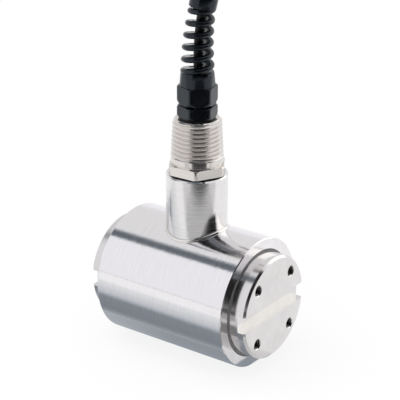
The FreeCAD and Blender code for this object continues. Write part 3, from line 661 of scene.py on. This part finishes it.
COIL_AWAY = 58.0
COIL_ASIDE = 4.0
COIL_MIDDLE = 39.0
COIL_WIDE = 13.2
COIL_POINTS = 16
LAYER_TURNS = 3
CLIMB_TURNS = 0.375
COIL_START = -78.0
COIL_OUTER = (COIL_MIDDLE + COIL_WIDE) / 2
COIL_INNER = (COIL_MIDDLE - COIL_WIDE) / 2
COIL_LAYERS = 3
TIE_WALL = 0.6
TIE_WIDTH = 2.5
TIE_PLACE = 75.0
TIE_HEAD = (4.6, 4.4, 2.8)
LEAD_LENGTH = 9.0
LEAD_RADIUS = 0.42
COIL_FLOOR = FLOOR_Z + TIE_WALL
SHEATH_FOOT = 68.5
SHEATH_STEPS = 40


def behind(away, aside, height):
    """A point seen from the neck's axis: how far behind it, how far to the side, and how high."""
    return Vector((NECK_X, 0, height)) + FORWARD * away + SIDEWAYS * aside


def cable_route():
    """Free cable up out of the protector, over in a loose bow and down behind the neck."""
    top = COLLAR_TOP
    coil_top = FLOOR_Z + 10
    return [
        leaned(top),
        leaned(top) + leaned_frame(top)[2] * 10,
        behind(3.0, 7.2, top + 21),
        behind(12.8, 8.0, top + 29.2),
        behind(26.5, 7.2, top + 29.6),
        behind(37.8, 5.4, top + 22),
        behind(42.6, 4.0, top + 9),
        behind(44.8, 2.6, top - 11),
        behind(45.6, 0.8, top - 35),
        behind(46, -1.2, top - 62),
        behind(46.8, -5.5, top - 87),
        behind(COIL_AWAY - 10.2, COIL_ASIDE - 15.6, coil_top + 33),
        behind(COIL_AWAY - 9.5, COIL_ASIDE - 20.4, coil_top + 21),
        behind(COIL_AWAY - 7.2, COIL_ASIDE - 23.4, coil_top + 11.4),
        behind(COIL_AWAY - 2.6, COIL_ASIDE - 25.0, coil_top + 3.6),
    ]


def coil_turns():
    """Three layers of turns, wound in, out and in again, each a diameter below the last."""
    outer = COIL_OUTER - CABLE / 2
    inner = COIL_INNER + CABLE / 2
    cut_in = (3 + math.cos(2 * math.pi / COIL_POINTS)) / 4
    stretches = [
        (LAYER_TURNS, outer, inner, 2, 2),
        (CLIMB_TURNS, inner, inner, 2, 1),
        (LAYER_TURNS, inner, outer, 1, 1),
        (CLIMB_TURNS, outer, outer, 1, 0),
        (LAYER_TURNS, outer, inner, 0, 0),
    ]
    points = []
    turn = COIL_START / 360
    for turns, start, end, layer, next_layer in stretches:
        steps = round(turns * COIL_POINTS)
        for i in range(steps):
            share = i / steps
            angle = 2 * math.pi * (turn + turns * share)
            radius = (start + (end - start) * share) / cut_in
            height = COIL_FLOOR + CABLE * (0.5 + layer + (next_layer - layer) * share)
            away = COIL_AWAY + radius * math.cos(angle)
            points.append(behind(away, COIL_ASIDE + radius * math.sin(angle), height))
        turn += turns
    return points


def cord_curve(name, points, radius):
    """A smooth NURBS spline through its control points, with a round section."""
    curve = bpy.data.curves.new(name, "CURVE")
    curve.dimensions = "3D"
    spline = curve.splines.new("NURBS")
    spline.points.add(len(points) - 1)
    for point, place in zip(spline.points, points):
        point.co = (*[c * MM for c in place], 1)
    spline.order_u = 3
    spline.use_endpoint_u = True
    curve.resolution_u = 6
    curve.bevel_depth = radius * MM
    curve.bevel_resolution = 6
    curve.use_fill_caps = True
    curve.materials.append(CABLE_SKIN)
    piece = bpy.data.objects.new(name, curve)
    bpy.context.collection.objects.link(piece)
    return piece


def tie_axes():
    """At the tie's place: outward from the coil's middle, and along its turns."""
    turn = math.radians(TIE_PLACE)
    out = FORWARD * math.cos(turn) + SIDEWAYS * math.sin(turn)
    return out, UP.cross(out)


def tie_path():
    """Frames round the coil's section: a rectangle with round corners, one wall off the cable."""
    low = Vector((COIL_INNER, COIL_FLOOR))
    high = Vector((COIL_OUTER, COIL_FLOOR + COIL_LAYERS * CABLE))
    corner = CABLE / 2
    out, along = tie_axes()
    centre = behind(COIL_AWAY, COIL_ASIDE, 0)
    middles = (
        (high.x - corner, high.y - corner), (low.x + corner, high.y - corner),
        (low.x + corner, low.y + corner), (high.x - corner, low.y + corner),
    )
    path = []
    for quarter, (radius, height) in enumerate(middles):
        for i in range(7):
            angle = math.radians(90 * quarter + 15 * i)
            facing = out * math.cos(angle) + UP * math.sin(angle)
            spot = centre + out * radius + UP * height + facing * (corner + TIE_WALL / 2)
            path.append((spot, facing, along))
    return path


def box_points(middle, axes, sizes):
    """The eight corners of a block, from its middle, three directions and three sizes."""
    return [
        middle + axes[0] * (a * sizes[0] / 2) + axes[1] * (b * sizes[1] / 2) + axes[2] * (c * sizes[2] / 2)
        for a in (-1, 1) for b in (-1, 1) for c in (-1, 1)
    ]


def coil_tie():
    """A nylon tie pulled round the coil, its head on top."""
    wall, width = TIE_WALL / 2, TIE_WIDTH / 2
    section = [(-wall, -width), (wall, -width), (wall, width), (-wall, width)]
    mesh = sweep("coil_tie", tie_path(), section, closed=True)
    out, along = tie_axes()
    top = COIL_FLOOR + COIL_LAYERS * CABLE + TIE_WALL
    head = behind(COIL_AWAY, COIL_ASIDE, top + TIE_HEAD[2] / 2) + out * (COIL_MIDDLE / 2)
    work = bmesh.new()
    work.from_mesh(mesh)
    corners = [work.verts.new(point) for point in box_points(head, (out, along, UP), TIE_HEAD)]
    bmesh.ops.convex_hull(work, input=corners)
    edges = [edge for edge in work.edges if edge.verts[0] in corners and edge.verts[1] in corners]
    bmesh.ops.bevel(work, geom=edges, offset=0.35, segments=2, affect="EDGES")
    work.to_mesh(mesh)
    work.free()
    return finish_piece("coil_tie", mesh, TIE_NYLON)


def lead_path(points, across, up):
    """Frames down one bare core, which spreads from the cut end of the sheath."""
    end = points[-1]
    ahead = (end - points[-2]).normalized()
    inward = (behind(COIL_AWAY, COIL_ASIDE, end.z) - end).normalized()
    path = []
    for i in range(13):
        share = i / 12
        spread_out = 1 + 1.1 * share
        spot = end + ahead * (LEAD_LENGTH * share) + inward * (across * spread_out + 2.6 * share ** 2)
        spot.z = end.z + up * (1 + 0.35 * share)
        path.append((spot, inward, UP))
    return path


cable_points = cable_route() + coil_turns()
cable = cord_curve("sensor_cable", cable_points, CABLE / 2)
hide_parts("cable_run", "cable_coil")
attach(cable, "root")
tie = coil_tie()
LEADS = {"red": (-0.55, 0.55), "white": (0.55, 0.55), "green": (-0.55, -0.55), "black": (0.55, -0.55)}
for colour, place in LEADS.items():
    lead = sweep(f"lead_{colour}", lead_path(cable_points, *place), circle(LEAD_RADIUS, 12))
    finish_piece(f"lead_{colour}", lead, CORE_SKINS[colour], angle=50)

sheath_rise = COLLAR_TOP - SHEATH_FOOT
sheath_heights = [SHEATH_FOOT + i * sheath_rise / SHEATH_STEPS for i in range(SHEATH_STEPS + 1)]
sheath_path = [(leaned(height), *leaned_frame(height)[:2]) for height in sheath_heights]
finish_piece(
    "cable_inside_gland", sweep("cable_inside_gland", sheath_path, circle(CABLE / 2, 20)), CABLE_SKIN,
    replaced=["cable_entry"],
)


# Camera, floor, lights and painted floor shadows

FLOOR = FLOOR_Z * MM
FLOOR_GLOW = 0.85
WORLD_COLOUR = (0.97, 0.965, 1.0, 1)
DARK = ((0.0, 0.012), (1.0, 0.012))
COOL = (0.82, 0.96, 1.12)
FRONT_TURN = 45.6


def place_camera():
    """The camera at the photograph's angle, with a slight roll."""
    turn = (
        Matrix.Rotation(math.radians(AZIMUTH), 4, "Z")
        @ Matrix.Rotation(math.radians(90 - ELEVATION), 4, "X")
        @ Matrix.Rotation(math.radians(ROLL), 4, "Z")
    )
    data = bpy.data.cameras.new("camera")
    data.lens = LENS
    data.sensor_width = 36.0
    data.clip_start = 0.01
    camera = bpy.data.objects.new("camera", data)
    back = turn.to_3x3() @ UP
    camera.matrix_world = Matrix.Translation((Vector(TARGET) + back * DISTANCE) * MM) @ turn
    bpy.context.collection.objects.link(camera)
    bpy.context.scene.camera = camera


def plane(name, size, centre, turn=(0, 0, 0)):
    """A flat rectangle, in metres."""
    half_x, half_y = size[0] / 2, size[1] / 2
    mesh = bpy.data.meshes.new(name)
    corners = [(-half_x, -half_y, 0), (half_x, -half_y, 0), (half_x, half_y, 0), (-half_x, half_y, 0)]
    mesh.from_pydata(corners, [], [(0, 1, 2, 3)])
    made = bpy.data.objects.new(name, mesh)
    made.location = centre
    made.rotation_euler = [math.radians(a) for a in turn]
    bpy.context.collection.objects.link(made)
    return made


def floor_material():
    """Pale floor that shows white to the camera but keeps the object's shadow."""
    made = bpy.data.materials.new("floor_pale")
    made.use_nodes = True
    tree = made.node_tree
    tree.nodes.clear()
    rays = node(tree, "ShaderNodeLightPath")
    both = node(tree, "ShaderNodeMath", operation="MAXIMUM")
    share = node(tree, "ShaderNodeMath", operation="MULTIPLY")
    share.inputs[1].default_value = FLOOR_GLOW
    matte = node(tree, "ShaderNodeBsdfDiffuse", Color=(*linear(232, 232, 234), 1))
    glow = node(tree, "ShaderNodeEmission", Color=(1, 1, 1, 1), Strength=1.0)
    mix = node(tree, "ShaderNodeMixShader")
    out = node(tree, "ShaderNodeOutputMaterial")
    tree.links.new(rays.outputs["Is Camera Ray"], both.inputs[0])
    tree.links.new(rays.outputs["Is Glossy Ray"], both.inputs[1])
    tree.links.new(both.outputs["Value"], share.inputs[0])
    tree.links.new(share.outputs["Value"], mix.inputs["Fac"])
    tree.links.new(matte.outputs["BSDF"], mix.inputs[1])
    tree.links.new(glow.outputs["Emission"], mix.inputs[2])
    tree.links.new(mix.outputs["Shader"], out.inputs["Surface"])
    return made


def area(name, size, centre, target, watts):
    """A softbox that faces a point, in metres."""
    data = bpy.data.lights.new(name, "AREA")
    data.shape = "RECTANGLE"
    data.size, data.size_y = size
    data.energy = watts
    made = bpy.data.objects.new(name, data)
    made.location = centre
    made.rotation_euler = (Vector(target) - Vector(centre)).to_track_quat("-Z", "Y").to_euler()
    bpy.context.collection.objects.link(made)
    return made


def card(name, size, centre, stops, turn=(0, 0, 0), tone=(1.0, 1.0, 1.04)):
    """A grey card that only shiny things reflect, either a studio flag or a painted floor shadow, its greys
    along its own Y as (place, grey) stops.

    The darker a grey is, the more it takes on the tone.
    """
    made = plane(name, size, centre, turn)
    look = bpy.data.materials.new(name)
    look.use_nodes = True
    tree = look.node_tree
    tree.nodes.clear()
    place = node(tree, "ShaderNodeTexCoord")
    split = node(tree, "ShaderNodeSeparateXYZ")
    along = node(tree, "ShaderNodeMapRange", From_Min=-size[1] / 2, From_Max=size[1] / 2)
    ramp = node(tree, "ShaderNodeValToRGB")
    glow = node(tree, "ShaderNodeEmission", Strength=1.0)
    out = node(tree, "ShaderNodeOutputMaterial")
    while len(ramp.color_ramp.elements) < len(stops):
        ramp.color_ramp.elements.new(0.5)
    for element, (spot, grey) in zip(ramp.color_ramp.elements, stops):
        element.position = spot
        element.color = (*[grey * (1 + (share - 1) * (1 - grey)) for share in tone], 1)
    tree.links.new(place.outputs["Object"], split.inputs["Vector"])
    tree.links.new(split.outputs["Y"], along.inputs["Value"])
    tree.links.new(along.outputs["Result"], ramp.inputs["Fac"])
    tree.links.new(ramp.outputs["Color"], glow.inputs["Color"])
    tree.links.new(glow.outputs["Emission"], out.inputs["Surface"])
    made.data.materials.append(look)
    made.visible_camera = False
    made.visible_diffuse = False
    made.visible_shadow = False
    return made


place_camera()
floor = plane("floor", (14, 14), (0, 0, FLOOR))
floor.data.materials.append(floor_material())
world = bpy.data.worlds.new("studio")
world.use_nodes = True
world.node_tree.nodes["Background"].inputs["Color"].default_value = WORLD_COLOUR
world.node_tree.nodes["Background"].inputs["Strength"].default_value = 1.0
bpy.context.scene.world = world
bpy.context.scene.view_settings.view_transform = "Standard"
card(
    "card_above", (2.4, 0.19), (-0.35, -0.19, 0.6),
    ((0.0, 0.6), (0.25, 0.16), (0.7, 0.16), (1.0, 0.6)), tone=COOL,
)
card("card_behind", (2.0, 1.3), (-0.72, 0.6, 0.92), ((0.0, 0.84), (1.0, 0.84)), (43, 0, -128))
card(
    "card_curtain", (2.3, 2.4), (0.87, -0.9, 1.17),
    ((0.0, 0.3), (0.08, 0.08), (0.17, 0.02), (1.0, 0.012)), (90, 0, 44),
)
card("card_side", (0.75, 1.7), (1.3, 0.1, 0.9), DARK, (90, 0, 95))
card("card_canopy", (0.9, 0.6), (0.296, -0.412, 1.088), DARK, (25, 0, AZIMUTH))
card("card_back", (1.0, 0.7), (0.6, 0.85, 0.45), ((0.0, 1.5), (1.0, 1.6)), (90, 0, -35))
# Painted shadow: a grey sheet on the floor under the tube, which shiny parts reflect as the object's shadow
# beneath it.
card(
    "painted_shadow_under", (0.06, 0.205), (-0.0275, 0.004, FLOOR + 0.001),
    ((0.0, 0.34), (0.19, 0.36), (0.38, 0.5), (0.6, 0.62)), (0, 0, 90), tone=COOL,
)
# Painted shadow: a grey sheet on the floor under the front end, which shiny parts reflect as shade there.
card("painted_shadow_under_right", (0.045, 0.037), (0.0975, -0.0105, FLOOR + 0.001), ((0.0, 0.62), (1.0, 0.82)))
# Painted shadow: a sheet on the floor in front of the tube, darkest beside it, which shiny parts reflect as
# the object's contact shadow.
card(
    "painted_shadow_strip", (0.205, 0.1), (-0.0275, -0.076, FLOOR + 0.002),
    ((0.0, 0.9), (0.4, 0.82), (0.68, 0.64), (0.78, 0.3), (0.95, 0.27), (1.0, 0.4)), tone=COOL,
)
# Painted shadow: a dark sheet on the floor in front of the front end, which shiny parts reflect as its
# contact shadow.
card("painted_shadow_strip_right", (0.07, 0.026), (0.11, -0.043, FLOOR + 0.002), ((0.0, 0.26), (1.0, 0.3)))
card("card_edge", (1.2, 0.55), (-1.05, -1.45, FLOOR + 0.002), ((0.0, 0.3), (1.0, 0.3)))
card(
    "card_front", (0.24, 0.52), (0.292, -0.248, FLOOR + 0.003),
    ((0.0, 0.08), (0.6, 0.05), (0.825, 0.05), (0.85, 0.5), (0.875, 0.62), (0.93, 0.55), (1.0, 0.5)),
    (0, 0, FRONT_TURN),
)
card(
    "card_front_wide", (0.4, 0.07), (0.12, -0.103, FLOOR + 0.0025),
    ((0.0, 0.72), (1.0, 0.72)), (0, 0, FRONT_TURN),
)
card(
    "card_far", (0.6, 0.65), (0.466, -0.385, FLOOR + 0.004),
    ((0.0, 0.4), (0.55, 0.2), (1.0, 0.012)), (0, 0, 48),
)
lamp = area("lamp_above", (1.4, 1.4), (-0.4, -0.5, 1.6), (0, 0, 0), 14)
lamp.visible_glossy = False
